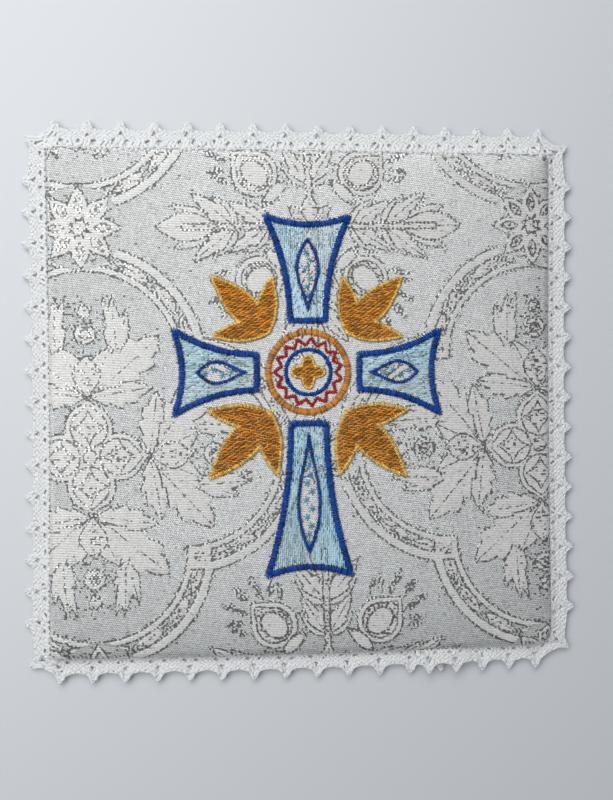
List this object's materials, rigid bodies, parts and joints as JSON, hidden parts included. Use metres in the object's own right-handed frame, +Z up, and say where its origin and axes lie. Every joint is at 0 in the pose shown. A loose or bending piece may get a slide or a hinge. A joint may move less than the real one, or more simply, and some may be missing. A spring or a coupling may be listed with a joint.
{
  "type": "chalice pall",
  "caption": "Square stiffened cloth pall that covers a chalice: padded brocade square with a rolled rim, a scalloped lace edging and an embroidered cross on its face.",
  "frame": {"origin": "middle of the flat underside, on the surface the pall lies on", "axes": "+Z up out of the embroidered face, +Y towards the head of the cross, +X to its right"},
  "size_m": [0.1752, 0.1759, 0.0052],
  "materials": {
    "brocade": "silver and white brocade",
    "lace": "matt white cotton lace",
    "royal_thread": "glossy royal blue satin stitch",
    "pale_thread": "glossy pale blue running stitch",
    "gold_thread": "glossy gold fill stitch"
  },
  "bodies": {
    "root": {"cover": "brocade", "lace_edging": "lace", "arm_border_head": "royal_thread", "arm_border_right": "royal_thread", "arm_border_foot": "royal_thread", "arm_border_left": "royal_thread", "arm_field_head": "pale_thread", "arm_field_right": "pale_thread", "arm_field_foot": "pale_thread", "arm_field_left": "pale_thread", "roundel_ring": "gold_thread", "roundel_flower": "gold_thread", "leaf_spray_upper_right": "gold_thread", "leaf_spray_lower_right": "gold_thread", "leaf_spray_lower_left": "gold_thread", "leaf_spray_upper_left": "gold_thread"}
  },
  "joints": []
}
